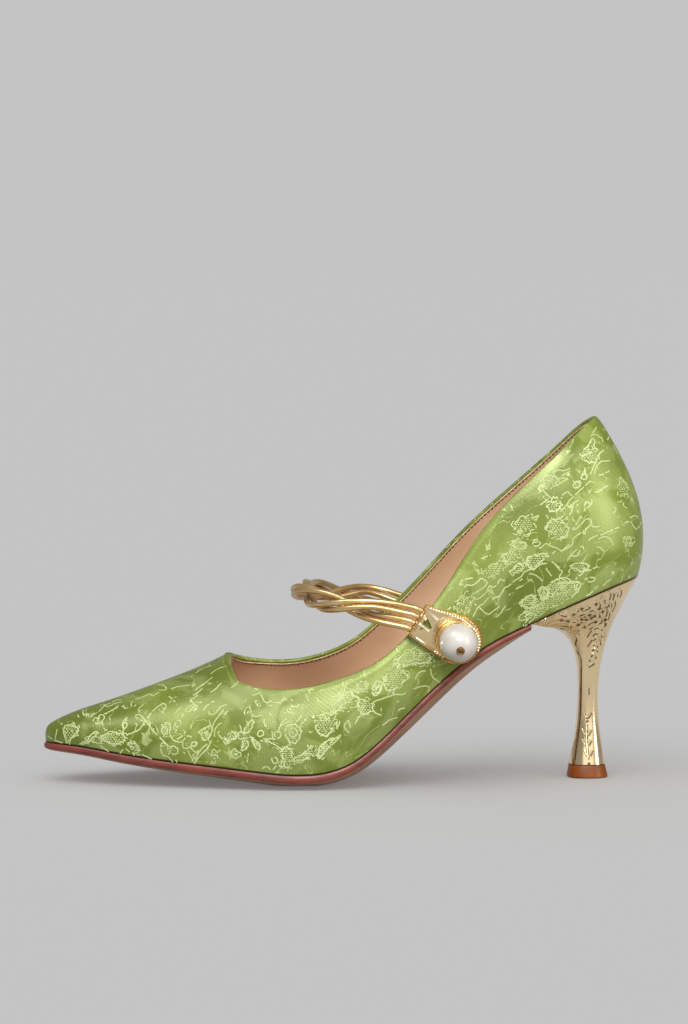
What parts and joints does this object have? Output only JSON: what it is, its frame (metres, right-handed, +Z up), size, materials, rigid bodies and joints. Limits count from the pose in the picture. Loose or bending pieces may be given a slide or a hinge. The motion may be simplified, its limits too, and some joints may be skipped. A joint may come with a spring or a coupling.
{
  "type": "mary jane heel",
  "caption": "Pointed brocade pump with a low throat, a twisted cord strap over the instep held by a pearl ornament, and a slim gold heel; worn on the left foot.",
  "frame": {"origin": "centre of the bounding box in plan, on the floor under the sole", "axes": "+X from the toe to the heel, -Y to the outer (lateral) side with the ornament, +Z up"},
  "size_m": [0.24, 0.0816, 0.1449],
  "materials": {
    "upper": "satin brocade",
    "insole": "smooth",
    "outsole": "burnished edge",
    "heel": "polished",
    "top_piece": "satin",
    "strap": "metallic",
    "ornament": "cast and polished",
    "pearl": "pearl"
  },
  "bodies": {
    "root": {"upper": "upper", "insole": "insole", "outsole": "outsole", "heel": "heel", "top_piece": "top_piece", "strap_strand_1": "strap", "strap_strand_2": "strap", "strap_strand_3": "strap", "strap_strand_4": "strap", "strap_anchor": "ornament", "ornament_plate": "ornament", "pearl": "pearl", "pearl_pin": "ornament"}
  },
  "joints": []
}
